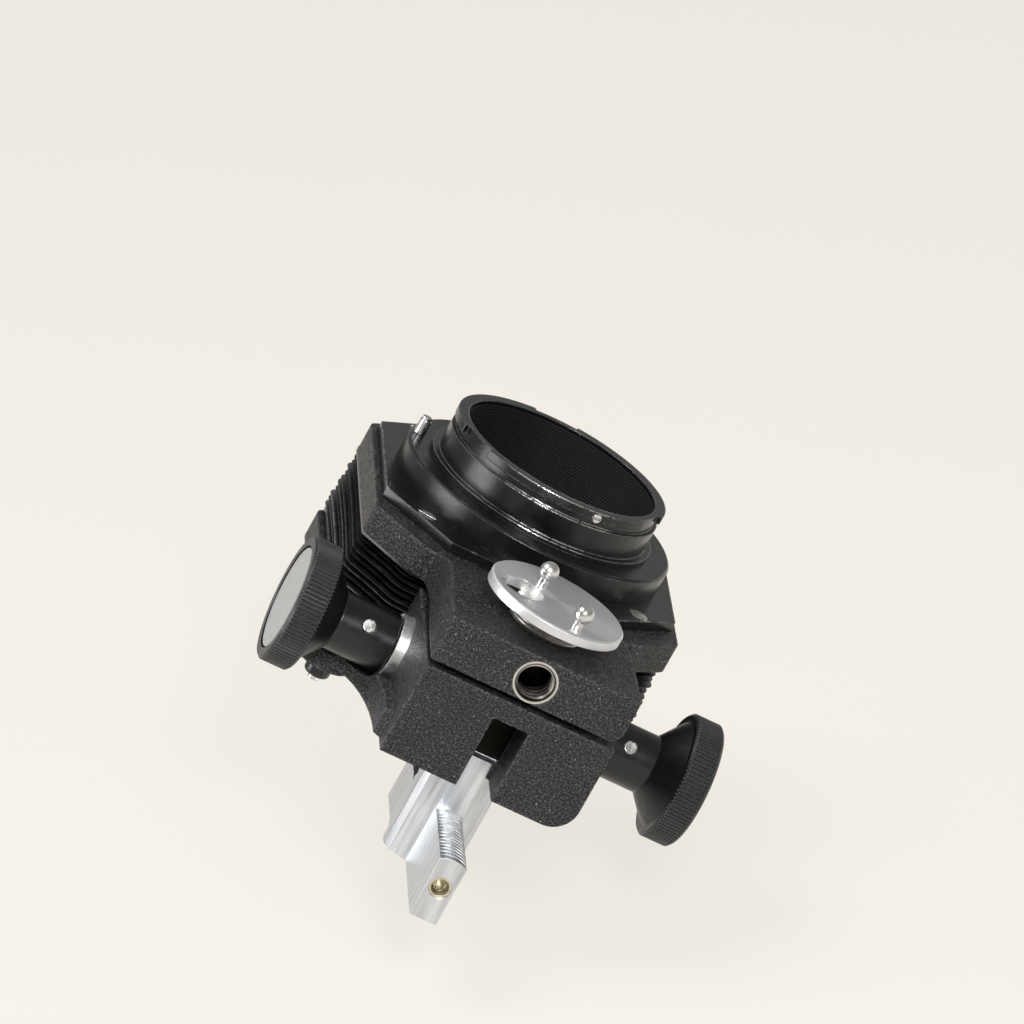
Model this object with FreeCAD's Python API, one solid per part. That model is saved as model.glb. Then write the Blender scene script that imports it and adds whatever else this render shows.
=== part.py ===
import FreeCAD
import Part
import math
import os

V = FreeCAD.Vector

# Macro bellows unit. Millimetres. Origin at the mouth of the tripod socket.
# X runs across the unit to the right knob, Y runs rearwards along the optical
# axis, Z runs up from the feet.

# Driving dimensions
axis_z = 60.5
plate_size = 55.2
plate_cut = 10.5
plate_drop = 1.9
plate_low_cut = 9.2
plate_corner = 3.0
rear_plate_size = 56.6
plate_t = 5.0
front_plate_y = -1.8
throat_r = 20.0
foot_half = 16.5
neck_half = 15.8
foot_straight = 9.0
shoe_straight = 12.0
block_front_y = -4.2
block_rear_y = 3.6
standards_gap = 1.2
shoe_depth = 16.2
travel = 14.2
wall_gap = 0.06

# Mount ring set on the front standard
base_size = 53.0
screw_edge = 2.7
base_t = 1.8
screw_square = 38.8
base_cut = base_size - screw_square - screw_edge
screw_r = 1.1
screw_head_r = 1.6
screw_head_t = 1.1
flange_r = 24.2
flange_t = 4.4
tube_in_r = 17.25
tube_r = 19.0
neck_r = 18.25
ledge_r = 20.2
ledge_t = 0.8
tube_len = 4.4
neck_len = 1.4
lip_len = 1.4
lug_r = 19.15

# Clamp disc
clamp_z = 13.7
disc_r = 11.7
disc_t = 1.7
disc_gap = 3.3
stem_big_r = 6.0
stem_r = 3.0
disc_hole_r = 3.65
disc_hole_x = -6.4
disc_hole_z = -1.5
ball_r = 1.6
pin_r = 0.95
pin_len = 2.6

# Tripod socket
socket_r = 3.175
socket_depth = 7.0
bush_r = 3.6

# Rail
rail_bottom = 7.7
rail_top = 31.0
rail_rear = 39.1
rail_root_half = 2.3
relief_half = 3.0
relief_front = 6.0
relief_rear = 18.2
relief_top = 10.0
bead_low_z = 10.4
bead_high_z = 13.6
bead_half = 6.25
web_z = 22.4
web_half = 4.65
lug_half = 2.3
lug_front = 28.0
lug_bottom = -12.0
lug_nose_r = 4.8
tooth_count = 15
tooth_pitch = 1.2
tooth_depth = 0.42

# Rack and pinion
shaft_y = 12.7
shaft_z = 23.0
gear_module = 0.5
gear_teeth = 12
gear_backlash = 0.12
gear_half = 4.0
shaft_r = 2.0

# Knobs
ring_r = 5.5
ring_t = 1.8
hub_r = 5.0
hub_len = 9.8
cone_len = 3.6
knob_r = 10.75
knob_t = 5.0
knob_ribs = 96
rib_depth = 0.28
insert_r = 8.6
insert_t = 0.9
groove_w = 0.35

# Bellows
bellows_half = 28.0
bellows_root = 22.8
bellows_wall = 1.5
pleats = 10
frame_t = 1.0
bellows_chamfer = 8.5

# Rear mount
rear_ring_r = 25.0
rear_ring_t = 4.5
rear_screw_pcd = 45.6
button_x = -25.2
button_z = 29.9
button_r = 2.2
button_lobe_r = 4.6
button_lobe_front = 19.3
button_lobe_rear = 22.4
button_len = 2.6
button_stroke = 1.5

# Positions that follow from the sizes above
front_plate_rear = front_plate_y + plate_t
base_front = front_plate_y - base_t
flange_front = base_front - flange_t
ledge_front = flange_front - ledge_t
tube_front = ledge_front - tube_len
neck_front = tube_front - neck_len
rim_front = neck_front - lip_len
shoe_front = block_rear_y + standards_gap
shoe_rear = shoe_front + shoe_depth
rear_plate_front = shoe_rear - plate_t + 0.2
pitch_r = gear_module * gear_teeth / 2
window_low = shaft_z - pitch_r - 0.55
window_high = shaft_z + pitch_r + 0.65
window_front = shaft_y - pitch_r - 0.75
window_rear = shaft_y + travel + pitch_r + 0.75
plate_half = plate_size / 2
rear_half = rear_plate_size / 2


def box(x0, x1, y0, y1, z0, z1):
    return Part.makeBox(x1 - x0, y1 - y0, z1 - z0, V(x0, y0, z0))


def rod_y(r, y0, y1, x=0.0, z=axis_z):
    return Part.makeCylinder(r, y1 - y0, V(x, y0, z), V(0, 1, 0))


def rod_x(r, x0, x1, y=shaft_y, z=shaft_z):
    return Part.makeCylinder(r, x1 - x0, V(x0, y, z), V(1, 0, 0))


def rod_z(r, z0, z1, x=0.0, y=0.0):
    return Part.makeCylinder(r, z1 - z0, V(x, y, z0), V(0, 0, 1))


def face_of(points):
    return Part.Face(Part.makePolygon([*points, points[0]]))


def prism_xz(points, y0, y1):
    """A flat outline in X and Z, drawn out along Y."""
    outline = face_of([V(x, y0, z) for x, z in points])
    return outline.extrude(V(0, y1 - y0, 0))


def prism_yz(points, x0, x1):
    """A flat outline in Y and Z, drawn out along X."""
    outline = face_of([V(x0, y, z) for y, z in points])
    return outline.extrude(V(x1 - x0, 0, 0))


def round_y_edges(shape, radius, y_span, wanted):
    """Rounds the edges that run along Y over the full span and are wanted."""
    edges = []
    for edge in shape.Edges:
        a, b = [v.Point for v in (edge.Vertexes[0], edge.Vertexes[-1])]
        if abs(abs(a.y - b.y) - y_span) < 0.01 and abs(a.x - b.x) < 0.01:
            if abs(a.z - b.z) < 0.01 and wanted(a):
                edges.append(edge)
    return shape.makeFillet(radius, edges)


def corner_waste(x, y, r, z1):
    """What is taken off to round an upright corner of a foot."""
    corner = box(x - r, x + 1, y - r, y + 1, -1, z1)
    return corner.cut(rod_z(r, -2, z1 + 1, x - r, y - r))


def cut_corners(half, cut_x, cut_z):
    """Corner points, in X and Z, of a square round the optical axis with its
    corners cut off."""
    pts = []
    for sx, sz in ((1, -1), (1, 1), (-1, 1), (-1, -1)):
        long_side = (sx * half, axis_z + sz * (half - cut_z))
        short_side = (sx * (half - cut_x), axis_z + sz * half)
        pair = [long_side, short_side]
        if sx * sz < 0:
            pair.reverse()
        pts.extend(pair)
    return pts


def standard_plate(outline, y0, y1):
    body = prism_xz(outline, y0, y1)
    return round_y_edges(body, plate_corner, y1 - y0, lambda p: True)


def ring_y(r_out, r_in, y0, y1):
    return rod_y(r_out, y0, y1).cut(rod_y(r_in, y0 - 1, y1 + 1))


def save(name, *solids):
    shape = solids[0] if len(solids) == 1 else Part.makeCompound(list(solids))
    shape.exportStep(os.path.join("parts", name + ".step"))


os.makedirs("parts", exist_ok=True)


def flare(x0, z0, x1, z1):
    """Points of a quarter sweep that starts upright and ends level."""
    pts = []
    for i in range(9):
        a = math.pi / 2 * i / 8
        pts.append((x0 + (x1 - x0) * (1 - math.cos(a)), z0 + (z1 - z0) * math.sin(a)))
    return pts


# Front standard: a square plate with cut corners, a neck and the block
# that holds the tripod bush
plate_low = axis_z - plate_half - plate_drop
neck_side = prism_yz(
    [
        (block_front_y, 0.0),
        (block_front_y, 20.0),
        (block_front_y + 0.5, 25.0),
        (front_plate_y + 0.001, 31.5),
        (front_plate_y + 0.001, plate_low + 4),
        (front_plate_rear, plate_low + 4),
        (front_plate_rear, 30.0),
        (block_rear_y, 27.0),
        (block_rear_y, 0.0),
    ],
    -plate_half,
    plate_half,
)
neck_right = [(foot_half, 0.0), (foot_half, foot_straight)]
neck_right += flare(neck_half, 25.0, neck_half + 4.0, plate_low + 2.0)
neck_left = [(-x, z) for x, z in reversed(neck_right)]
neck_front_view = prism_xz(neck_right + neck_left, -10, 10)
front_standard = neck_side.common(neck_front_view)
plate_side = plate_half - plate_low_cut
front_outline = [
    (plate_side, plate_low),
    (plate_half, plate_low + plate_low_cut),
    (plate_half, axis_z + plate_half - plate_cut),
    (plate_half - plate_cut, axis_z + plate_half),
]
front_outline += [(-x, z) for x, z in reversed(front_outline)]
front_plate = standard_plate(front_outline, front_plate_y, front_plate_rear)
front_standard = front_standard.fuse(front_plate).removeSplitter()
front_standard = front_standard.cut(corner_waste(foot_half, block_rear_y, 2.0, foot_straight))
front_standard = front_standard.cut(rod_y(throat_r, -10, 10))
front_standard = front_standard.cut(rod_z(bush_r, -1, socket_depth + 0.6))
front_standard = front_standard.cut(rod_y(stem_r + wall_gap, -10, 10, 0, clamp_z))
half_square = screw_square / 2
screw_places = [
    (sx * half_square, axis_z + sz * half_square) for sx in (-1, 1) for sz in (-1, 1)
]
for x, z in screw_places:
    front_standard = front_standard.cut(
        rod_y(screw_r, front_plate_y - 1, front_plate_y + 3.2, x, z)
    )
dowel_places = (19.0, 27.0)
dowel_r = 1.25
for z in dowel_places:
    front_standard = front_standard.cut(
        rod_y(dowel_r, block_rear_y - 3.0, block_rear_y + 1, 0, z)
    )
save("front_standard", front_standard)

# Threaded bush for the tripod screw
tripod_bush = rod_z(bush_r, 0, socket_depth + 0.6)
tripod_bush = tripod_bush.cut(rod_z(socket_r, -1, socket_depth))
save("tripod_bush", tripod_bush)


# Base plate of the mount with cut corners and four countersunk screws
def countersunk(x, z, face_y, length):
    """A countersunk screw facing -Y with a straight slot."""
    head = Part.makeCone(
        screw_head_r, screw_r, screw_head_t, V(x, face_y, z), V(0, 1, 0)
    )
    shank = rod_y(screw_r, face_y + screw_head_t, face_y + length, x, z)
    slot = box(x - 3, x + 3, face_y - 1, face_y + 0.45, z - 0.22, z + 0.22)
    slot.rotate(V(x, face_y, z), V(0, 1, 0), 35 + 20 * x / half_square)
    return head.fuse(shank).removeSplitter().cut(slot)


base_plate = prism_xz(
    cut_corners(base_size / 2, base_cut, base_cut), base_front, front_plate_y
)
base_plate = base_plate.cut(rod_y(throat_r, -10, 10))
screws = []
for x, z in screw_places:
    seat = Part.makeCone(
        screw_head_r, screw_r, screw_head_t, V(x, base_front, z), V(0, 1, 0)
    )
    base_plate = base_plate.cut(seat)
    base_plate = base_plate.cut(rod_y(screw_r, base_front, 5, x, z))
    screws.append(countersunk(x, z, base_front, base_t + 3.0))
save("mount_base_plate", base_plate)
save("base_plate_screws", *screws)

# Flange ring, clear of the screw heads at its edge
flange_ring = ring_y(flange_r, tube_r, flange_front, base_front)
flange_ring = flange_ring.makeChamfer(
    0.4,
    [
        e
        for e in flange_ring.Edges
        if abs(e.BoundBox.YMax - flange_front) < 0.01
        and e.BoundBox.XLength > 2 * tube_r + 2
    ],
)
save("flange_ring", flange_ring)

# Bayonet tube: sleeve in the flange, thin ledge, tube, neck and lugged lip
tube = rod_y(tube_r, flange_front, base_front)
tube = tube.fuse(rod_y(ledge_r, ledge_front, flange_front))
tube = tube.fuse(rod_y(tube_r, tube_front, ledge_front))
tube = tube.fuse(rod_y(neck_r, rim_front, tube_front))
lug_arc = 96.0
for k in range(3):
    start = 12.0 + 120.0 * k
    lug = Part.makeCylinder(
        lug_r, lip_len, V(0, rim_front, axis_z), V(0, 1, 0), lug_arc
    )
    lug.rotate(V(0, 0, axis_z), V(0, 1, 0), start)
    tube = tube.fuse(lug)
tube = tube.removeSplitter()
tube = tube.cut(rod_y(tube_in_r, -40, 10))
stop_angle = math.radians(-73.0)
stop_dir = V(math.cos(stop_angle), 0, math.sin(stop_angle))
stop_y = rim_front + 1.0
stop_r = 0.75


def radial_rod(direction, r, r0, r1, y):
    at = V(direction.x * r0, y, axis_z + direction.z * r0)
    return Part.makeCylinder(r, r1 - r0, at, direction)


tube = tube.cut(radial_rod(stop_dir, stop_r, tube_in_r - 3, tube_r + 3, stop_y))
save("bayonet_tube", tube)

# Stop screw set radially in the lip of the tube
stop_screw = radial_rod(stop_dir, stop_r, tube_in_r + 0.5, lug_r + 0.25, stop_y)
slot = Part.makeBox(4, 0.32, 0.8, V(-2, -0.16, -0.4))
slot.rotate(V(0, 0, 0), V(0, 1, 0), -math.degrees(stop_angle) - 90)
tip = V(stop_dir.x * (lug_r + 0.25), stop_y, axis_z + stop_dir.z * (lug_r + 0.25))
slot.translate(tip)
stop_screw = stop_screw.cut(slot)
save("bayonet_stop_screw", stop_screw)

# Index pin standing on the face of the flange ring
index_angle = math.radians(170.0)
index_rad = 22.6
index_x = index_rad * math.cos(index_angle)
index_z = axis_z + index_rad * math.sin(index_angle)
index_pin = rod_y(1.0, flange_front - 2.6, flange_front, index_x, index_z)
index_pin = index_pin.fuse(
    rod_y(0.8, flange_front - 3.2, flange_front - 2.6, index_x, index_z)
)
save("index_pin", index_pin.removeSplitter())

# Clamp disc with its stem and two ball-ended pins
disc_back = block_front_y - disc_gap
disc_front = disc_back - disc_t
stem_big = rod_y(stem_big_r, disc_back, block_front_y - wall_gap, 0, clamp_z)
stem_end = block_rear_y + 0.9
stem = stem_big.fuse(rod_y(stem_r, block_front_y - wall_gap, stem_end, 0, clamp_z))
hub_tenon = 2.5
stem = stem.fuse(rod_y(hub_tenon, disc_front + 0.3, disc_back, 0, clamp_z))
save("clamp_stem", stem.removeSplitter())
disc = rod_y(disc_r, disc_front, disc_back, 0, clamp_z)
disc = disc.makeChamfer(
    0.3, [e for e in disc.Edges if abs(e.BoundBox.YMax - disc_front) < 0.01]
)
disc = disc.cut(rod_y(hub_tenon, disc_front + 0.3, disc_back + 1, 0, clamp_z))
disc = disc.cut(
    rod_y(disc_hole_r, disc_front - 1, disc_back + 1, disc_hole_x, clamp_z + disc_hole_z)
)
pin_places = ((-2.8, 3.5), (2.7, -8.4))
pins = []
for x, dz in pin_places:
    z = clamp_z + dz
    disc = disc.cut(rod_y(pin_r, disc_front - 1, disc_back - 0.4, x, z))
    ball_y = disc_front - pin_len
    ball = Part.makeSphere(ball_r, V(x, ball_y, z))
    pins.append(ball.fuse(rod_y(pin_r, ball_y, disc_back - 0.4, x, z)).removeSplitter())
save("clamp_disc", disc)
save("clamp_pins", *pins)


# Rail: beads at the foot, a tall web, a window with the rack, an end lug
def rail_profile(gap):
    right = [
        (rail_root_half, rail_bottom - gap),
        (bead_half - 0.9 + gap, bead_low_z - 0.9 - gap),
        (bead_half - 0.15 + gap, bead_low_z + 0.4),
        (bead_half + gap, bead_low_z + 1.7),
        (bead_half - 0.15 + gap, bead_high_z),
        (bead_half - 0.7 + gap, bead_high_z + 1.6),
        (web_half + gap + 0.35, bead_high_z + 4.2),
        (web_half + gap, web_z),
        (web_half + gap, rail_top + gap),
    ]
    left = [(-x, z) for x, z in reversed(right)]
    return right + left


rail = prism_xz(rail_profile(0.0), block_rear_y, rail_rear)
nose_x = lug_nose_r
lug_outline = [(-lug_half, rail_rear), (-lug_half, lug_front + 0.6)]
for i in range(9):
    x = -lug_half + 2 * lug_half * i / 8
    y = lug_front + nose_x - math.sqrt(nose_x**2 - x**2)
    lug_outline.append((x, y))
lug_outline.extend([(lug_half, lug_front + 0.6), (lug_half, rail_rear)])
lug_face = face_of([V(x, y, lug_bottom) for x, y in lug_outline])
lug = lug_face.extrude(V(0, 0, rail_bottom + 1.0 - lug_bottom))
rail = rail.fuse(lug).removeSplitter()
tooth_low = lug_bottom + 1.6
for i in range(tooth_count):
    z = tooth_low + i * tooth_pitch
    groove = prism_yz(
        [
            (lug_front - 1.0, z - 0.55),
            (lug_front + 0.25, z - 0.3),
            (lug_front + 0.25 + tooth_depth, z),
            (lug_front + 0.25, z + 0.3),
            (lug_front - 1.0, z + 0.55),
        ],
        -lug_half - 1,
        lug_half + 1,
    )
    rail = rail.cut(groove)
window = box(-9, 9, window_front, window_rear, window_low, window_high)
rack_top = shaft_z - pitch_r + 0.3
rack_pitch = math.pi * gear_module
tan20 = math.tan(math.radians(20))
space_half = rack_pitch / 4 + gear_backlash / 4
tooth_half = rack_pitch / 2 - space_half
first = int((window_front - shaft_y) / rack_pitch) - 1
last = int((window_rear - shaft_y) / rack_pitch) + 2
for k in range(first, last + 1):
    y = shaft_y + k * rack_pitch
    low = window_low - 0.2
    spread_low = tooth_half + (shaft_z - pitch_r - low) * tan20
    spread_top = tooth_half - (rack_top - (shaft_z - pitch_r)) * tan20
    tooth = prism_yz(
        [
            (y - spread_low, low),
            (y + spread_low, low),
            (y + spread_top, rack_top),
            (y - spread_top, rack_top),
        ],
        -10,
        10,
    )
    window = window.cut(tooth)
rail = rail.cut(window)
rail = rail.cut(
    box(-relief_half, relief_half, relief_front, relief_rear, rail_bottom - 1, relief_top)
)
rail = rail.cut(rod_y(stem_r + wall_gap, block_rear_y - 1, stem_end + 0.5, 0, clamp_z))
for z in dowel_places:
    rail = rail.cut(rod_y(dowel_r, block_rear_y - 1, block_rear_y + 4.0, 0, z))
stop_hole_y = (lug_front + rail_rear) / 2 - 0.4
rail_stop_r = 1.85
rail = rail.cut(rod_z(rail_stop_r, lug_bottom - 1, lug_bottom + 6, 0, stop_hole_y))
save("rail", rail)

# Dowels between the front standard and the rail
dowels = [
    rod_y(dowel_r, block_rear_y - 3.0, block_rear_y + 4.0, 0, z) for z in dowel_places
]
save("rail_dowels", *dowels)

# Socket screw in the bottom of the end lug
rail_screw = rod_z(rail_stop_r, lug_bottom + 0.2, lug_bottom + 6, 0, stop_hole_y)
rail_screw = rail_screw.cut(
    Part.makeCone(1.45, 1.0, 1.0, V(0, stop_hole_y, lug_bottom + 0.2), V(0, 0, 1))
)
rail_screw = rail_screw.cut(
    rod_z(0.95, lug_bottom, lug_bottom + 3.0, 0, stop_hole_y)
)
save("rail_end_screw", rail_screw)

# Rear standard: shoe round the rail, plate for the bellows and rear mount
shoe_top = axis_z - bellows_half - 0.5
shoe = box(-foot_half, foot_half, shoe_front, shoe_rear, 0, shoe_top)
shoe = shoe.cut(corner_waste(foot_half, shoe_rear, 4.5, shoe_straight))
rear_right = [(foot_half, shoe_straight)]
rear_right += flare(foot_half, 27.0, foot_half + 4.0, axis_z - rear_half + 2.0)
rear_left = [(-rear_half + 6.0, axis_z - rear_half + 8.0)]
rear_left += reversed(flare(-foot_half - 1.0, 6.0, button_x + 0.5, 25.0))
rear_left += [(-foot_half + 1.0, 4.0), (-foot_half + 1.0, shoe_straight)]
rear_neck = prism_xz(rear_right + rear_left, rear_plate_front, shoe_rear)
lobe = rod_y(button_lobe_r, button_lobe_front, button_lobe_rear, button_x, button_z)
lobe_root = prism_xz(
    [
        (button_x, button_z - button_lobe_r),
        (button_x + 4.0, button_z - button_lobe_r),
        (button_x + 8.0, button_z + 8.0),
        (button_x, button_z + 8.0),
        (button_x - button_lobe_r, button_z + 6.0),
        (button_x - button_lobe_r, button_z),
    ],
    button_lobe_front,
    shoe_rear,
)
rear_outline = cut_corners(rear_half, plate_cut, plate_cut)
rear_plate = standard_plate(rear_outline, rear_plate_front, shoe_rear)
rear_standard = shoe.fuse([rear_neck, rear_plate, lobe, lobe_root]).removeSplitter()
hub_room = ring_r + 0.7
for x0, x1 in ((-40, -foot_half), (foot_half, 40)):
    rear_standard = rear_standard.cut(rod_x(hub_room, x0, x1))
rear_standard = rear_standard.cut(rod_y(throat_r, 0, 40))
channel = prism_xz(rail_profile(wall_gap), shoe_front - 1, shoe_rear + 1)
rear_standard = rear_standard.cut(channel)
slot_half = 3.1
slot_front = shoe_front + 3.4
slot = box(-slot_half, slot_half, slot_front, shoe_rear + 1, -1, rail_bottom + 0.5)
rear_standard = rear_standard.cut(slot)
bush_hole_r = 3.6
rear_standard = rear_standard.cut(rod_x(bush_hole_r, -foot_half - 1, foot_half + 1))
button_bore_end = shoe_rear - 3.4
rear_standard = rear_standard.cut(
    rod_y(button_r + wall_gap, button_bore_end, 40, button_x, button_z)
)
rear_screws = []
rear_screw_r = 0.9
rear_face = shoe_rear + rear_ring_t
ring_screw_places = []
for k in range(4):
    a = math.radians(45 + 90 * k)
    ring_screw_places.append(
        (rear_screw_pcd / 2 * math.cos(a), axis_z + rear_screw_pcd / 2 * math.sin(a))
    )
rear_ring = ring_y(rear_ring_r, throat_r, shoe_rear, rear_face)
rear_ring = rear_ring.cut(ring_y(throat_r + 1.2, throat_r - 1, rear_face - 1.2, rear_face))
for x, z in ring_screw_places:
    rear_standard = rear_standard.cut(rod_y(rear_screw_r, shoe_rear - 3, 40, x, z))
    head = rod_y(1.7, rear_face - 1.1, rear_face, x, z)
    rear_ring = rear_ring.cut(head)
    rear_ring = rear_ring.cut(rod_y(rear_screw_r, shoe_rear - 1, rear_face + 1, x, z))
    shank = rod_y(rear_screw_r, shoe_rear - 3, rear_face - 1.1, x, z)
    screw = head.fuse(shank).removeSplitter()
    slot = box(x - 2, x + 2, rear_face - 0.5, rear_face + 1, z - 0.22, z + 0.22)
    rear_screws.append(screw.cut(slot))
for k in range(3):
    start = math.radians(90 + 120 * k)
    cut_at = V(
        (throat_r + 0.4) * math.cos(start), rear_face, axis_z + (throat_r + 0.4) * math.sin(start)
    )
    rear_ring = rear_ring.cut(Part.makeCylinder(3.0, 3.0, cut_at - V(0, 2.4, 0), V(0, 1, 0)))
save("rear_standard", rear_standard)
save("rear_mount_ring", rear_ring)
save("rear_mount_screws", *rear_screws)

# Bushes that carry the drive shaft
inner_face = bead_half + 1.2
left_bush = rod_x(bush_hole_r, -foot_half, -inner_face)
left_bush = left_bush.fuse(rod_x(ring_r, -foot_half - ring_t, -foot_half))
left_bush = left_bush.removeSplitter().cut(rod_x(shaft_r + wall_gap, -40, 40))
save("left_bush", left_bush)
right_bush = rod_x(bush_hole_r, inner_face, foot_half)
right_bush = right_bush.fuse(rod_x(ring_r, foot_half, foot_half + ring_t))
right_bush = right_bush.removeSplitter().cut(rod_x(shaft_r + wall_gap, -40, 40))
save("right_bush", right_bush)


# Drive shaft with the pinion cut on it
def involute(base_r, r):
    t = math.sqrt(max((r / base_r) ** 2 - 1, 0))
    return t - math.atan(t)


def pinion_outline():
    base_r = pitch_r * math.cos(math.radians(20))
    tip = pitch_r + 0.38
    root = pitch_r - 0.47
    half_tooth = math.pi / (2 * gear_teeth) - gear_backlash / (4 * pitch_r)
    at_pitch = involute(base_r, pitch_r)
    flank = []
    for i in range(6):
        r = base_r + (tip - base_r) * i / 5
        flank.append((r, half_tooth + at_pitch - involute(base_r, r)))
    pts = []
    for k in range(gear_teeth):
        centre = 2 * math.pi * (k + 0.5) / gear_teeth
        low = (root, half_tooth + at_pitch)
        one = [(low[0], -low[1])] + [(r, -a) for r, a in flank]
        one += [(r, a) for r, a in reversed(flank)] + [low]
        for r, a in one:
            pts.append((shaft_y + r * math.cos(centre + a), shaft_z + r * math.sin(centre + a)))
    return pts


knob_start = foot_half + ring_t + 0.1
hub_end = knob_start + hub_len
rim_start = hub_end + cone_len
knob_face = rim_start + knob_t
shaft_end = rim_start + 2.0
pinion = prism_yz(pinion_outline(), -gear_half, gear_half)
shaft = rod_x(shaft_r, -shaft_end, shaft_end)
save("pinion_shaft", shaft.fuse(pinion).removeSplitter())


def hub(side):
    body = rod_x(hub_r, knob_start, hub_end)
    body = body.makeChamfer(
        0.25, [e for e in body.Edges if abs(e.BoundBox.XMax - knob_start) < 0.01]
    )
    body = body.cut(rod_x(shaft_r, 0, 60))
    screw_x = knob_start + hub_len * 0.52
    hole = Part.makeCylinder(
        set_screw_r, 6, V(screw_x, shaft_y, shaft_z), set_dir
    )
    return body.cut(hole)


def set_screw():
    screw_x = knob_start + hub_len * 0.52
    start = V(screw_x, shaft_y, shaft_z) + set_dir * (shaft_r + 0.02)
    body = Part.makeCylinder(set_screw_r, hub_r - shaft_r - 0.1, start, set_dir)
    slot = Part.makeBox(0.36, 4, 0.9, V(-0.18, -2, -0.45))
    slot.rotate(V(0, 0, 0), V(1, 0, 0), math.degrees(math.atan2(-set_dir.y, set_dir.z)))
    slot.translate(V(screw_x, shaft_y, shaft_z) + set_dir * (hub_r - 0.1))
    return body.cut(slot)


def knob():
    """A ribbed rim on a disc, with a dished back and a seat for the insert."""
    count = knob_ribs
    pts = []
    for k in range(count):
        a = 2 * math.pi * k / count
        step = 2 * math.pi / count
        for f, r in ((0.0, knob_r - rib_depth), (0.3, knob_r), (0.7, knob_r)):
            pts.append(
                (shaft_y + r * math.cos(a + f * step), shaft_z + r * math.sin(a + f * step))
            )
    body = prism_yz(pts, rim_start, knob_face)
    edge = Part.makeCone(
        knob_r + 1.0, knob_r - 0.45, 1.45, V(knob_face - 1.45, shaft_y, shaft_z), V(1, 0, 0)
    )
    lead = Part.makeCone(
        knob_r - 0.45, knob_r + 1.0, 1.45, V(rim_start, shaft_y, shaft_z), V(1, 0, 0)
    )
    middle = rod_x(knob_r + 1.0, rim_start + 1.4, knob_face - 1.4)
    body = body.common(edge.fuse([lead, middle]))
    back = Part.makeCone(hub_r, knob_r - 1.6, cone_len, V(hub_end, shaft_y, shaft_z), V(1, 0, 0))
    body = body.fuse(back).removeSplitter()
    seat = rod_x(insert_r + groove_w, knob_face - 1.1, knob_face + 1)
    body = body.cut(seat)
    return body.cut(rod_x(shaft_r, 0, shaft_end))


def insert():
    return rod_x(insert_r, knob_face - 1.1, knob_face - 1.1 + insert_t)


def to_left(shape):
    return shape.mirror(V(0, 0, 0), V(1, 0, 0))


set_screw_r = 1.05
set_dir = V(0, -0.58, -0.81)
set_dir.normalize()
for side in ("right", "left"):
    made = {"hub": hub(side), "knob": knob(), "knob_insert": insert()}
    made["set_screw"] = set_screw()
    for name, shape in made.items():
        save(side + "_" + name, shape if side == "right" else to_left(shape))


# Pleated bellows between two clamping frames
def octagon(half, y):
    c = bellows_chamfer
    wire_pts = [V(x, y, z) for x, z in cut_corners(half, c, c)]
    return Part.makePolygon([*wire_pts, wire_pts[0]])


bellows_front = front_plate_rear + frame_t
bellows_rear = rear_plate_front - frame_t
fold = (bellows_rear - bellows_front) / (2 * pleats)


def pleated(half_out, half_in):
    wires = []
    for i in range(2 * pleats + 1):
        half = half_in if i % 2 == 0 else half_out
        wires.append(octagon(half, bellows_front + i * fold))
    return Part.makeLoft(wires, True, True)


bellows = pleated(bellows_half, bellows_root)
bellows = bellows.cut(pleated(bellows_half - bellows_wall, bellows_root - bellows_wall))
save("bellows", bellows)


def clamp_frame(y0, y1):
    outer = Part.Face(octagon(bellows_half - 0.8, y0)).extrude(V(0, y1 - y0, 0))
    return outer.cut(rod_y(throat_r, y0 - 1, y1 + 1))


save("bellows_front_frame", clamp_frame(front_plate_rear, bellows_front))
save("bellows_rear_frame", clamp_frame(bellows_rear, rear_plate_front))

# Release button of the rear mount, with its tip
button_out = button_lobe_rear + button_len
button_in = button_bore_end + button_stroke + 0.1
button = rod_y(button_r, button_in, button_out, button_x, button_z)
button = button.makeFillet(
    0.7, [e for e in button.Edges if abs(e.BoundBox.YMin - button_out) < 0.01]
)
tip_r = 1.0
button = button.cut(rod_y(tip_r, button_out - 2.0, button_out + 1, button_x, button_z))
save("release_button", button)
tip = rod_y(tip_r, button_out - 2.0, button_out + 0.8, button_x, button_z)
save("release_tip", tip)
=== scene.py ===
import math

import bpy
from mathutils import Matrix, Vector


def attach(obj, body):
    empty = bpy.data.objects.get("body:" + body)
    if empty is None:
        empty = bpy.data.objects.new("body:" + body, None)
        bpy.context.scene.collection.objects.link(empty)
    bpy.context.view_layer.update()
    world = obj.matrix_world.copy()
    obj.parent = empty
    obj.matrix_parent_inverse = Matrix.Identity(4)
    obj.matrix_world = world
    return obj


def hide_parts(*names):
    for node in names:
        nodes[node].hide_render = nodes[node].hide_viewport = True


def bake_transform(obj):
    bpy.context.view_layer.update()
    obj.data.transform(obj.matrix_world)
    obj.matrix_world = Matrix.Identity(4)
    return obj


# Macro bellows unit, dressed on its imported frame. Metres. X runs across to the
# right knob, Y rearwards along the optical axis, Z up from the feet.

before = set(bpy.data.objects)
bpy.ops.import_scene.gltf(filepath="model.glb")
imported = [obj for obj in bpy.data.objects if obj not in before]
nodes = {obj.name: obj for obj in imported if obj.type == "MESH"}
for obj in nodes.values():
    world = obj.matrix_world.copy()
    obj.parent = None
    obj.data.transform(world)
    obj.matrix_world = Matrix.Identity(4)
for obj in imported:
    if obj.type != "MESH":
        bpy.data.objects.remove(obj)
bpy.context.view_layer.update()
MM = 0.001
AXIS_Z = 60.5
CLAMP_Z = 13.7


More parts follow.
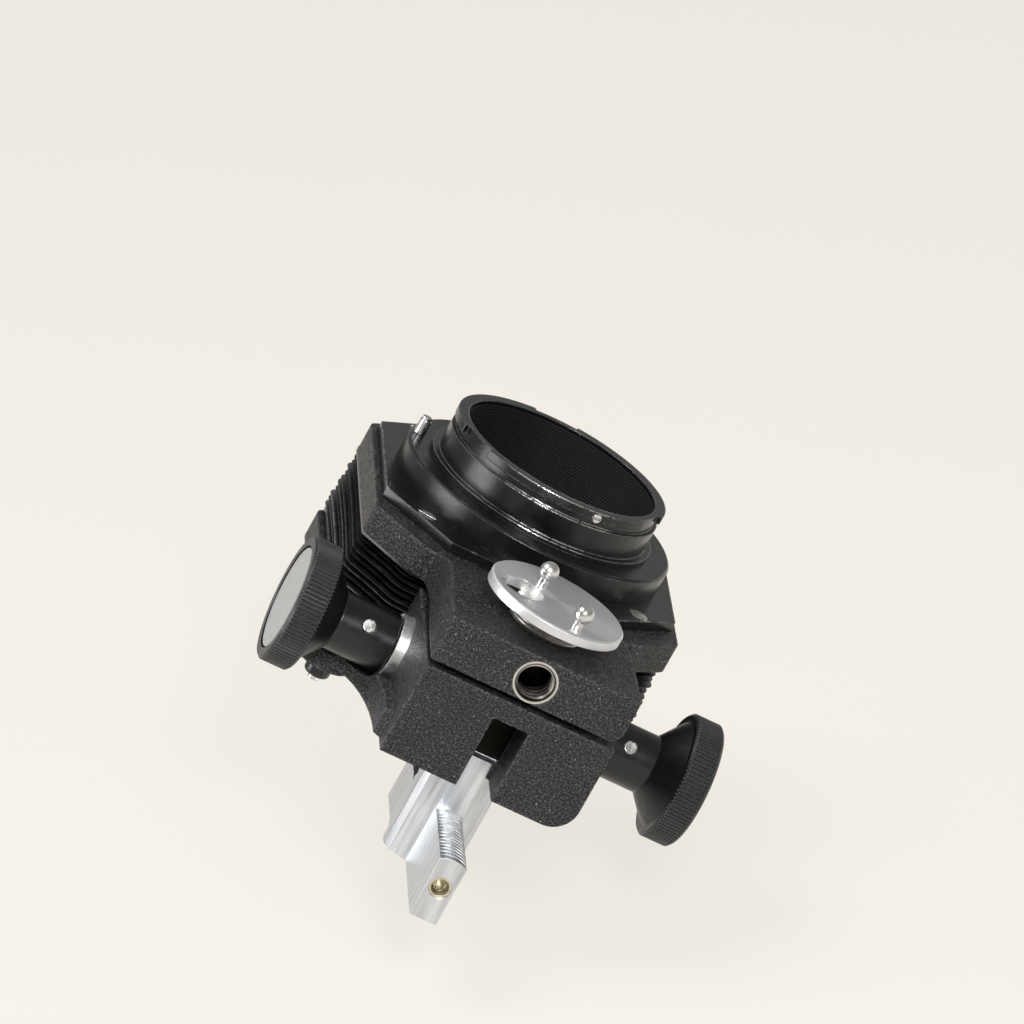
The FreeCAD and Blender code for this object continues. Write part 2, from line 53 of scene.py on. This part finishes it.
# Material helpers
class Mat:
    def __init__(self, name, colour, rough, metallic=0.0):
        self.m = bpy.data.materials.new(name)
        self.m.use_nodes = True
        self.m.diffuse_color = (*colour, 1)
        self.nt = self.m.node_tree
        self.p = self.nt.nodes["Principled BSDF"]
        self.set(self.p, "Base Color", (*colour, 1))
        self.set(self.p, "Roughness", rough)
        self.set(self.p, "Metallic", metallic)
        self.coord = self.nt.nodes.new("ShaderNodeTexCoord").outputs["Object"]

    def set(self, node, socket, value):
        if isinstance(value, bpy.types.NodeSocket):
            self.nt.links.new(value, node.inputs[socket])
        else:
            node.inputs[socket].default_value = value

    def node(self, kind, props=None, **sockets):
        n = self.nt.nodes.new(kind)
        for k, v in (props or {}).items():
            setattr(n, k, v)
        for k, v in sockets.items():
            self.set(n, k.replace("_", " "), v)
        return n

    def stretched(self, scale):
        n = self.node("ShaderNodeMapping")
        self.set(n, "Vector", self.coord)
        n.inputs["Scale"].default_value = scale
        return n.outputs["Vector"]

    def noise(self, scale, detail=3.0, rough=0.5, vector=None):
        n = self.node("ShaderNodeTexNoise", Scale=scale, Detail=detail, Roughness=rough)
        self.set(n, "Vector", vector or self.coord)
        return n.outputs["Fac"]

    def ramp(self, fac, lo, hi, a=0.0, b=1.0):
        n = self.node("ShaderNodeMapRange", {"clamp": True}, Value=fac)
        self.set(n, "From Min", lo)
        self.set(n, "From Max", hi)
        self.set(n, "To Min", a)
        self.set(n, "To Max", b)
        return n.outputs["Result"]

    def math(self, op, a, b=0.0):
        n = self.node("ShaderNodeMath", {"operation": op})
        self.set(n, 0, a)
        self.set(n, 1, b)
        return n.outputs[0]

    def mix(self, fac, a, b):
        n = self.node("ShaderNodeMix", {"data_type": "RGBA"})
        self.set(n, "Factor", fac)
        for idx, v in ((6, a), (7, b)):
            self.set(n, idx, v if isinstance(v, bpy.types.NodeSocket) else (*v, 1))
        return n.outputs[2]

    def edge(self, radius, lo=0.985, hi=0.80):
        bevel = self.node("ShaderNodeBevel", {"samples": 6}, Radius=radius)
        geo = self.node("ShaderNodeNewGeometry")
        dot = self.node("ShaderNodeVectorMath", {"operation": "DOT_PRODUCT"})
        self.set(dot, 0, bevel.outputs["Normal"])
        self.set(dot, 1, geo.outputs["Normal"])
        return bevel.outputs["Normal"], self.ramp(dot.outputs["Value"], lo, hi)

    def bump(self, height, distance, strength=1.0, normal=None):
        n = self.node("ShaderNodeBump", Height=height, Distance=distance, Strength=strength)
        if normal is not None:
            self.set(n, "Normal", normal)
        return n.outputs["Normal"]

    def radial(self, centre):
        """Tangent running round the Y axis through centre, and the radius."""
        sub = self.node("ShaderNodeVectorMath", {"operation": "SUBTRACT"})
        self.set(sub, 0, self.coord)
        sub.inputs[1].default_value = centre
        cross = self.node("ShaderNodeVectorMath", {"operation": "CROSS_PRODUCT"})
        self.set(cross, 0, sub.outputs["Vector"])
        cross.inputs[1].default_value = (0, 1, 0)
        norm = self.node("ShaderNodeVectorMath", {"operation": "NORMALIZE"})
        self.set(norm, 0, cross.outputs["Vector"])
        length = self.node("ShaderNodeVectorMath", {"operation": "LENGTH"})
        self.set(length, 0, cross.outputs["Vector"])
        return norm.outputs["Vector"], length.outputs["Value"]


# Materials
def crinkle_paint():
    m = Mat("crinkle_paint", (0.02, 0.02, 0.02), 0.42)
    smooth, edge = m.edge(0.0009, 0.99, 0.84)
    fine = m.noise(3000, 2, 0.6)
    coarse = m.noise(1100, 2)
    grain = m.math("ADD", fine, m.math("MULTIPLY", coarse, 0.6))
    patch = m.ramp(m.noise(160, 3), 0.35, 0.7)
    light = m.mix(patch, (0.058, 0.058, 0.059), (0.085, 0.085, 0.084))
    tone = m.mix(m.ramp(fine, 0.46, 0.66), (0.0045, 0.0045, 0.005), light)
    speck = m.ramp(m.noise(2100, 1, 0.5), 0.72, 0.76)
    tone = m.mix(m.math("MULTIPLY", speck, 0.7), tone, (0.42, 0.42, 0.4))
    broken = m.math("MULTIPLY", edge, m.ramp(m.noise(1500, 3, 0.7), 0.42, 0.62))
    tone = m.mix(m.math("MULTIPLY", broken, 0.6), tone, (0.2, 0.2, 0.195))
    m.set(m.p, "Base Color", tone)
    m.set(m.p, "Roughness", m.ramp(coarse, 0.3, 0.7, 0.34, 0.55))
    m.set(m.p, "Specular IOR Level", 0.35)
    m.set(m.p, "Normal", m.bump(grain, 0.0005, 0.9, smooth))
    return m.m


def satin_black(name, wear, rough, worn_colour=(0.5, 0.5, 0.48), radius=0.0003, worn_at=None,
                base=0.0035, spec=0.5):
    m = Mat(name, (base, base, base), rough)
    smooth, edge = m.edge(radius)
    patchy = m.ramp(m.noise(330, 4, 0.65), 0.52, 0.62)
    worn = m.math("MULTIPLY", m.math("MULTIPLY", edge, patchy), wear)
    if worn_at is not None:
        spot, reach = worn_at
        gap = m.node("ShaderNodeVectorMath", {"operation": "DISTANCE"})
        m.set(gap, 0, m.coord)
        gap.inputs[1].default_value = spot
        near = m.ramp(gap.outputs["Value"], reach * 0.75, reach, 1.0, 0.08)
        bold = m.ramp(m.noise(700, 4, 0.7), 0.4, 0.5)
        worn = m.math("MULTIPLY", m.math("MULTIPLY", m.ramp(edge, 0.05, 0.4), bold), near)
    tone = m.mix(m.noise(400, 3), (base * 0.7,) * 3, (base * 1.5, base * 1.5, base * 1.6))
    tone = m.mix(m.math("MULTIPLY", edge, 0.3), tone, (0.1, 0.1, 0.105))
    dust = m.ramp(m.noise(1500, 3, 0.7), 0.74, 0.8, 0.0, 0.25)
    tone = m.mix(dust, tone, (0.3, 0.3, 0.29))
    m.set(m.p, "Base Color", m.mix(worn, tone, worn_colour))
    m.set(m.p, "Metallic", worn)
    m.set(m.p, "Roughness", m.ramp(m.noise(500, 4), 0.3, 0.7, rough - 0.04, rough + 0.06))
    m.set(m.p, "Specular IOR Level", spec)
    m.set(m.p, "Normal", m.bump(m.noise(6000, 2), 0.000008, 0.3, smooth))
    return m.m


def metal(
    name, lo, hi, rough, scale=700, stretch=(1, 1, 1), mark=0.00001, stain_share=0.45,
    metallic=1.0, painted_shade_end=None
):
    """Bare metal with streaks, faint stains and, at a rail end, painted shade in the relief under the
    slot.
    """
    m = Mat(name, hi, rough, metallic)
    smooth = m.edge(0.00015)[0]
    vec = m.stretched(stretch)
    streak = m.noise(scale, 4, 0.6, vec)
    tone = m.mix(m.ramp(streak, 0.3, 0.7), lo, hi)
    stain = m.math("MULTIPLY", m.ramp(m.noise(260, 4, 0.6), 0.56, 0.74), stain_share)
    tone = m.mix(stain, tone, tuple(c * 0.45 for c in lo))
    if painted_shade_end is not None:
        # Painted shade: the relief under the slot at the rail's front end is coloured near black
        # where the slot walls shade it.
        at = m.node("ShaderNodeSeparateXYZ", Vector=m.coord)
        y_end, z_end, half = painted_shade_end
        inside = m.math("LESS_THAN", at.outputs["Y"], y_end)
        inside = m.math("MULTIPLY", inside, m.math("LESS_THAN", at.outputs["Z"], z_end))
        middle = m.math("LESS_THAN", m.math("ABSOLUTE", at.outputs["X"]), half)
        tone = m.mix(m.math("MULTIPLY", inside, middle), tone, (0.012, 0.011, 0.009))
    m.set(m.p, "Base Color", tone)
    m.set(m.p, "Roughness", m.ramp(streak, 0.3, 0.7, rough - 0.06, rough + 0.1))
    m.set(m.p, "Normal", m.bump(streak, mark, 0.5, smooth))
    return m.m


def threaded(name, look_lo, look_hi, valley, crest, fade):
    """Steel of the tripod thread, with painted shade in the valleys and towards the blind end."""
    m = Mat(name, look_hi, 0.3, 1.0)
    at = m.node("ShaderNodeSeparateXYZ", Vector=m.coord)
    flat = m.node("ShaderNodeCombineXYZ", X=at.outputs["X"], Y=at.outputs["Y"])
    away = m.node("ShaderNodeVectorMath", {"operation": "LENGTH"})
    m.set(away, 0, flat.outputs["Vector"])
    # Painted shade: beyond the valley radius and deeper in towards the blind end the colour turns
    # near black; on the bush this covers the whole bore wall.
    lit = m.ramp(away.outputs["Value"], valley, crest)
    near = m.ramp(at.outputs["Z"], fade[0], fade[1], 1.0, 0.0)
    tone = m.mix(m.noise(700, 3), look_lo, look_hi)
    tone = m.mix(m.math("MULTIPLY", lit, near), (0.012, 0.011, 0.01), tone)
    m.set(m.p, "Base Color", tone)
    m.set(m.p, "Roughness", m.ramp(m.noise(900, 3), 0.3, 0.7, 0.24, 0.4))
    return m.m


def turned_disc():
    m = Mat("aluminium_disc", (0.82, 0.82, 0.83), 0.3, 1.0)
    smooth = m.edge(0.00015)[0]
    tangent, radius = m.radial((0, 0, CLAMP_Z * MM))
    rings = m.node("ShaderNodeCombineXYZ", X=radius)
    turned = m.noise(9000, 3, 0.7, rings.outputs["Vector"])
    tone = m.mix(m.ramp(turned, 0.3, 0.7), (0.7, 0.71, 0.74), (0.9, 0.91, 0.93))
    m.set(m.p, "Base Color", tone)
    m.set(m.p, "Roughness", m.ramp(turned, 0.3, 0.7, 0.32, 0.44))
    m.set(m.p, "Anisotropic", 0.6)
    m.set(m.p, "Tangent", tangent)
    m.set(m.p, "Normal", m.bump(turned, 0.000012, 0.5, smooth))
    return m.m


def knob_plastic():
    m = Mat("knob_plastic", (0.006, 0.006, 0.0065), 0.34)
    smooth, edge = m.edge(0.00014)
    dust = m.math("MULTIPLY", m.ramp(m.noise(900, 4, 0.7), 0.62, 0.8), 0.08)
    tone = m.mix(dust, (0.0045, 0.0045, 0.005), (0.22, 0.22, 0.2))
    # Painted highlight: the knurl ridge edges are mixed towards light grey.
    m.set(m.p, "Base Color", m.mix(m.math("MULTIPLY", edge, 0.85), tone, (0.2, 0.2, 0.2)))
    m.set(m.p, "Roughness", m.ramp(m.noise(600, 3), 0.3, 0.7, 0.3, 0.44))
    m.set(m.p, "Specular IOR Level", 0.45)
    m.set(m.p, "Normal", m.bump(m.noise(4000, 2), 0.00001, 0.4, smooth))
    return m.m


def bellows_cloth():
    m = Mat("bellows_cloth", (0.008, 0.008, 0.009), 0.32)
    tip = m.node("ShaderNodeAttribute", {"attribute_name": "fold_tip"}).outputs["Fac"]
    weave = m.math("ADD", m.noise(5200, 2), m.noise(1400, 3))
    tone = m.mix(m.ramp(m.noise(800, 4), 0.4, 0.75), (0.005, 0.005, 0.006), (0.02, 0.02, 0.021))
    # Painted highlight: the pleat tips are mixed towards light grey in patches.
    tip_highlight = m.math("MULTIPLY", m.ramp(tip, 0.86, 1.0), m.ramp(m.noise(900, 3), 0.35, 0.6, 0.25, 0.8))
    m.set(m.p, "Base Color", m.mix(tip_highlight, tone, (0.3, 0.3, 0.3)))
    m.set(m.p, "Roughness", m.ramp(tip, 0.3, 1.0, 0.42, 0.2))
    m.set(m.p, "Normal", m.bump(weave, 0.00004, 0.4))
    return m.m


crinkle = crinkle_paint()
rim_wear = ((-0.0005, -0.016, 0.0425), 0.0105)
gloss_black = satin_black("satin_black_metal", 0.5, 0.27)
tube_black = satin_black("tube_black_metal", 1.0, 0.25, (0.85, 0.84, 0.81), 0.0004, rim_wear)
plate_black = satin_black("plate_black_metal", 0.8, 0.24, (0.6, 0.6, 0.6), 0.00035)
hub_black = satin_black("hub_black_metal", 0.2, 0.27)
inner_black = satin_black("groove_black", 0.0, 0.6, base=0.003, spec=0.15)
steel = metal("bright_steel", (0.6, 0.59, 0.57), (0.84, 0.83, 0.81), 0.24)
# Both threaded steels carry painted shade in the bore and the thread valleys.
socket_steel = threaded(
    "socket_steel", (0.5, 0.47, 0.42), (0.8, 0.78, 0.74), 0.0031, 0.0034, (0.0002, 0.003)
)
thread_steel = threaded(
    "thread_steel", (0.55, 0.52, 0.47), (0.86, 0.84, 0.8), 0.00305, 0.00278, (0.002, 0.0058)
)
bush_steel = metal("bush_steel", (0.78, 0.78, 0.77), (0.92, 0.92, 0.91), 0.38, 500, stain_share=0.1)
disc = turned_disc()
stem_metal = metal("stem_metal", (0.4, 0.38, 0.34), (0.66, 0.64, 0.6), 0.35)
# The rail carries painted shade in the relief under the slot at its front end.
rail_metal = metal(
    "rail_aluminium", (0.5, 0.52, 0.55), (0.8, 0.82, 0.84), 0.38, 1.0, (900, 60, 900),
    mark=0.00001, stain_share=0.08, painted_shade_end=(0.0181, 0.0105, 0.00305)
)
insert_metal = metal(
    "insert_metal", (0.36, 0.37, 0.37), (0.45, 0.46, 0.46), 0.48, 900, stain_share=0.12, metallic=0.35
)
brass = metal("brass_screw", (0.5, 0.46, 0.35), (0.76, 0.72, 0.58), 0.36)
plastic = knob_plastic()
cloth = bellows_cloth()

node_looks = {
    crinkle: ["front_standard", "rear_standard"],
    gloss_black: ["flange_ring", "bellows_front_frame",
                  "bellows_rear_frame", "release_button", "rear_mount_ring"],
    hub_black: ["left_hub", "right_hub"],
    tube_black: ["bayonet_tube"],
    plate_black: ["mount_base_plate"],
    steel: ["bayonet_stop_screw", "index_pin", "base_plate_screws", "clamp_pins", "rail_dowels",
            "rear_mount_screws", "left_set_screw", "right_set_screw", "release_tip",
            "pinion_shaft"],
    socket_steel: ["tripod_bush"],
    bush_steel: ["left_bush", "right_bush"],
    disc: ["clamp_disc"],
    rail_metal: ["rail"],
    insert_metal: ["left_knob_insert", "right_knob_insert"],
    brass: ["rail_end_screw"],
    stem_metal: ["clamp_stem"],
    plastic: ["left_knob", "right_knob"],
    cloth: ["bellows"],
}
for look, names in node_looks.items():
    for name in names:
        data = nodes[name].data
        if not data.materials:
            data.materials.append(look)
        for i in range(len(data.materials)):
            data.materials[i] = look


# Mesh helpers
def mesh_piece(name, verts, faces, look, sharp=0.7):
    data = bpy.data.meshes.new(name)
    data.from_pydata([Vector(v) * MM for v in verts], [], faces)
    data.validate()
    data.polygons.foreach_set("use_smooth", [True] * len(data.polygons))
    data.set_sharp_from_angle(angle=sharp)
    data.materials.append(look)
    obj = bpy.data.objects.new(name, data)
    bpy.context.scene.collection.objects.link(obj)
    return obj


def loops(rings, closed):
    """Faces that join rings of equal point counts, the last to the first too
    where the run of rings closes on itself."""
    n = len(rings[0])
    verts = [p for ring in rings for p in ring]
    faces = []
    last = len(rings) if closed else len(rings) - 1
    for j in range(last):
        a = j * n
        b = (j + 1) % len(rings) * n
        for i in range(n):
            k = (i + 1) % n
            faces.append((a + i, a + k, b + k, b + i))
    return verts, faces


def turned_y(name, profile, centre_z, look, segments=144, sharp=0.5):
    """A ring round a Y axis from a closed profile of (radius, y) points."""
    rings = []
    for r, y in profile:
        ring = []
        for i in range(segments):
            a = 2 * math.pi * i / segments
            ring.append((r * math.cos(a), y, centre_z + r * math.sin(a)))
        rings.append(ring)
    verts, faces = loops(rings, True)
    return mesh_piece(name, verts, faces, look, sharp)


# Bellows: ten soft pleats on a cut-corner square
def cloth_outline(half, cut, y):
    corners = []
    for sx, sz in ((1, -1), (1, 1), (-1, 1), (-1, -1)):
        pair = [(sx * half, sz * (half - cut)), (sx * (half - cut), sz * half)]
        if sx * sz < 0:
            pair.reverse()
        corners.extend(pair)
    pts = []
    count = len(corners)
    for k in range(count):
        prev = Vector(corners[k - 1])
        here = Vector(corners[k])
        after = Vector(corners[(k + 1) % count])
        d0 = (prev - here).normalized()
        d1 = (after - here).normalized()
        soft = 1.6
        for t in (0.0, 0.25, 0.5, 0.75, 1.0):
            p = here + d0 * soft * (1 - t) ** 2 + d1 * soft * t**2
            pts.append(p)
        for t in (0.25, 0.5, 0.75):
            a = here + d1 * soft
            b = after - d1 * soft
            mid = a.lerp(b, t)
            mid -= mid.normalized() * 0.25 * math.sin(math.pi * t)
            pts.append(mid)
    return [(p.x, y, AXIS_Z + p.y) for p in pts]


pleats = 10
cloth_front = 4.25
cloth_rear = 15.15
tip_half = 27.95
root_half = 23.0
pitch = (cloth_rear - cloth_front) / pleats
shape = [(0.0, 0.0), (0.12, 0.1), (0.36, 0.7), (0.46, 0.97), (0.5, 1.0), (0.54, 0.97),
         (0.64, 0.7), (0.88, 0.1)]
outer = []
for k in range(pleats):
    reach = 0.97 - 0.03 * math.sin(k * 2.4) - 0.012 * (pleats - k)
    for t, h in shape:
        y = cloth_front + (k + t) * pitch
        y += 0.10 * math.sin(k * 1.9 + 1.0) * h
        outer.append((y, root_half + (tip_half - root_half) * h * reach))
outer.append((cloth_rear, root_half))
rings = [cloth_outline(h, 8.2, y) for y, h in outer]
rings += [cloth_outline(h - 0.35, 8.2, y) for y, h in reversed(outer)]
verts, faces = loops(rings, True)
pleated = mesh_piece("pleated_cloth", verts, faces, cloth, 1.2)
fold = pleated.data.attributes.new("fold_tip", "FLOAT", "POINT")
per_ring = len(rings[0])
heights = [max(0.0, (h - root_half) / (tip_half - root_half)) for y, h in outer]
heights += [0.0] * len(outer)
for j, height in enumerate(heights):
    for i in range(per_ring):
        fold.data[j * per_ring + i].value = height
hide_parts("bellows")
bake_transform(pleated)

# Fine rings turned inside the bayonet tube
groove_profile = []
y = -15.3
while y < -4.6:
    groove_profile += [(17.27, y), (17.02, y + 0.2), (17.02, y + 0.28)]
    y += 0.5
groove_profile += [(17.27, y), (17.35, y), (17.35, -15.3)]
grooves = turned_y("tube_grooves", groove_profile, AXIS_Z, inner_black, 160)
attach(grooves, "front")

# Thread inside the tripod bush
thread_rings = []
steps = 72
socket_pitch = 1.27
thread_start = 0.25
thread_length = 6.6
per_turn = 24
for j in range(0, int(thread_length / socket_pitch * per_turn)):
    z = thread_start + j * socket_pitch / per_turn
    ring = []
    for i in range(steps):
        a = 2 * math.pi * i / steps
        phase = (z / socket_pitch - i / steps) % 1.0
        r = 3.15 - 0.42 * (1 - abs(2 * phase - 1))
        ring.append((r * math.cos(a), r * math.sin(a), z))
    thread_rings.append(ring)
back = [[(3.2 * math.cos(2 * math.pi * i / steps), 3.2 * math.sin(2 * math.pi * i / steps), z)
         for i in range(steps)] for z in (thread_rings[-1][0][2], thread_start)]
verts, faces = loops(thread_rings + back, True)
socket_thread = mesh_piece("socket_thread", verts, faces, thread_steel, 0.6)
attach(socket_thread, "front")

# Thread on the clamp stem behind the disc
stem_rings = []
stem_pitch = 0.6
for j in range(0, int(3.0 / stem_pitch * 16) + 1):
    y = -7.35 + j * stem_pitch / 16
    ring = []
    for i in range(96):
        a = 2 * math.pi * i / 96
        phase = (y / stem_pitch - i / 96) % 1.0
        r = 5.98 + 0.24 * (1 - abs(2 * phase - 1))
        ring.append((r * math.cos(a), y, CLAMP_Z + r * math.sin(a)))
    stem_rings.append(ring)
ends = [[(5.9 * math.cos(2 * math.pi * i / 96), y, CLAMP_Z + 5.9 * math.sin(2 * math.pi * i / 96))
         for i in range(96)] for y in (-4.35, -7.35)]
verts, faces = loops(stem_rings + ends, True)
stem_thread = mesh_piece("stem_thread", verts, faces, stem_metal, 0.6)
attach(stem_thread, "clamp")

# Camera
right = Vector((0.8839, -0.4654, -0.0465))
up = Vector((-0.4184, -0.8312, 0.366))
back_dir = Vector((-0.209, -0.3041, -0.9294))
cam_data = bpy.data.cameras.new("camera")
cam_data.lens = 225.5
cam_data.sensor_width = 36
cam_data.clip_start = 0.01
cam = bpy.data.objects.new("camera", cam_data)
rot = Matrix((right, up, back_dir)).transposed().to_quaternion().to_matrix()
cam.matrix_world = Matrix.Translation((-0.2234, -0.3245, -0.9195)) @ rot.to_4x4()
bpy.context.scene.collection.objects.link(cam)
bpy.context.scene.camera = cam

# Floor, under the lowest points of the unit as it lies, and low enough that
# the rear standard stays above it when it is racked right back
RACK_TRAVEL = 0.0142
floor_up = Vector((-0.457, -0.89, 0.03)).normalized()
lowest = min(v.co.dot(floor_up) for o in nodes.values() for v in o.data.vertices)
toward = (back_dir - floor_up * back_dir.dot(floor_up)).normalized()
across = floor_up.cross(toward)
centre = Vector((0, 0.005, 0.035))
sink = RACK_TRAVEL * abs(floor_up.y) + 0.0002
foot = centre + floor_up * (lowest - sink - centre.dot(floor_up))
span = 3.0
floor_mesh = bpy.data.meshes.new("floor")
floor_mesh.from_pydata(
    [foot + across * a * span + toward * b * span for a, b in ((-1, -1), (1, -1), (1, 1), (-1, 1))],
    [], [(3, 2, 1, 0)],
)
floor = bpy.data.objects.new("floor", floor_mesh)
bpy.context.scene.collection.objects.link(floor)
cream = (0.896, 0.855, 0.791)
fm = Mat("floor_paper", cream, 0.9)
out = fm.nt.nodes["Material Output"]
glow = fm.node("ShaderNodeEmission", Color=(*cream, 1), Strength=1.0)
path = fm.node("ShaderNodeLightPath")
seen = fm.math("MAXIMUM", path.outputs["Is Camera Ray"], path.outputs["Is Glossy Ray"])
seen = fm.math("MULTIPLY", seen, 0.85)
fm.set(fm.p, "Base Color", fm.mix(fm.noise(60, 2), (0.88, 0.835, 0.79), (0.9, 0.86, 0.81)))
mixer = fm.node("ShaderNodeMixShader")
fm.set(mixer, 0, seen)
fm.set(mixer, 1, fm.p.outputs["BSDF"])
fm.set(mixer, 2, glow.outputs["Emission"])
# The sheet shows from above only, so that it never stands before the object
under = fm.node("ShaderNodeNewGeometry").outputs["Backfacing"]
clear = fm.node("ShaderNodeBsdfTransparent")
sheet = fm.node("ShaderNodeMixShader")
fm.set(sheet, 0, under)
fm.set(sheet, 1, mixer.outputs["Shader"])
fm.set(sheet, 2, clear.outputs["BSDF"])
fm.set(out, "Surface", sheet.outputs["Shader"])
floor_mesh.materials.append(fm.m)


# Lights
def lamp(name, direction, distance, size, watts, tint=(1, 1, 1)):
    data = bpy.data.lights.new(name, "AREA")
    data.shape = "DISK"
    data.size = size
    data.energy = watts
    data.color = tint
    obj = bpy.data.objects.new(name, data)
    where = centre + direction.normalized() * distance
    obj.matrix_world = Matrix.Translation(where) @ (
        (where - centre).to_track_quat("Z", "Y").to_matrix().to_4x4()
    )
    bpy.context.scene.collection.objects.link(obj)


lamp("key", Vector((-0.15, -0.57, -0.82)), 0.9, 0.25, 6.0)
lamp("overhead", floor_up * 1.0 - right * 0.5 + toward * 0.1, 0.8, 0.45, 3.4)
lamp("side", Vector((-0.93, 0.26, -0.18)), 0.6, 0.32, 1.3)

world = bpy.data.worlds.new("studio")
world.use_nodes = True
tree = world.node_tree
sky = tree.nodes["Background"]
sky.inputs["Color"].default_value = (0.93, 0.92, 0.9, 1)
sky.inputs["Strength"].default_value = 0.36
backdrop = tree.nodes.new("ShaderNodeBackground")
backdrop.inputs["Color"].default_value = (*cream, 1)
backdrop.inputs["Strength"].default_value = 1.0
ray = tree.nodes.new("ShaderNodeLightPath")
choose = tree.nodes.new("ShaderNodeMixShader")
tree.links.new(ray.outputs["Is Camera Ray"], choose.inputs[0])
tree.links.new(sky.outputs["Background"], choose.inputs[1])
tree.links.new(backdrop.outputs["Background"], choose.inputs[2])
tree.links.new(choose.outputs["Shader"], tree.nodes["World Output"].inputs["Surface"])
bpy.context.scene.world = world
bpy.context.scene.view_settings.view_transform = "Standard"
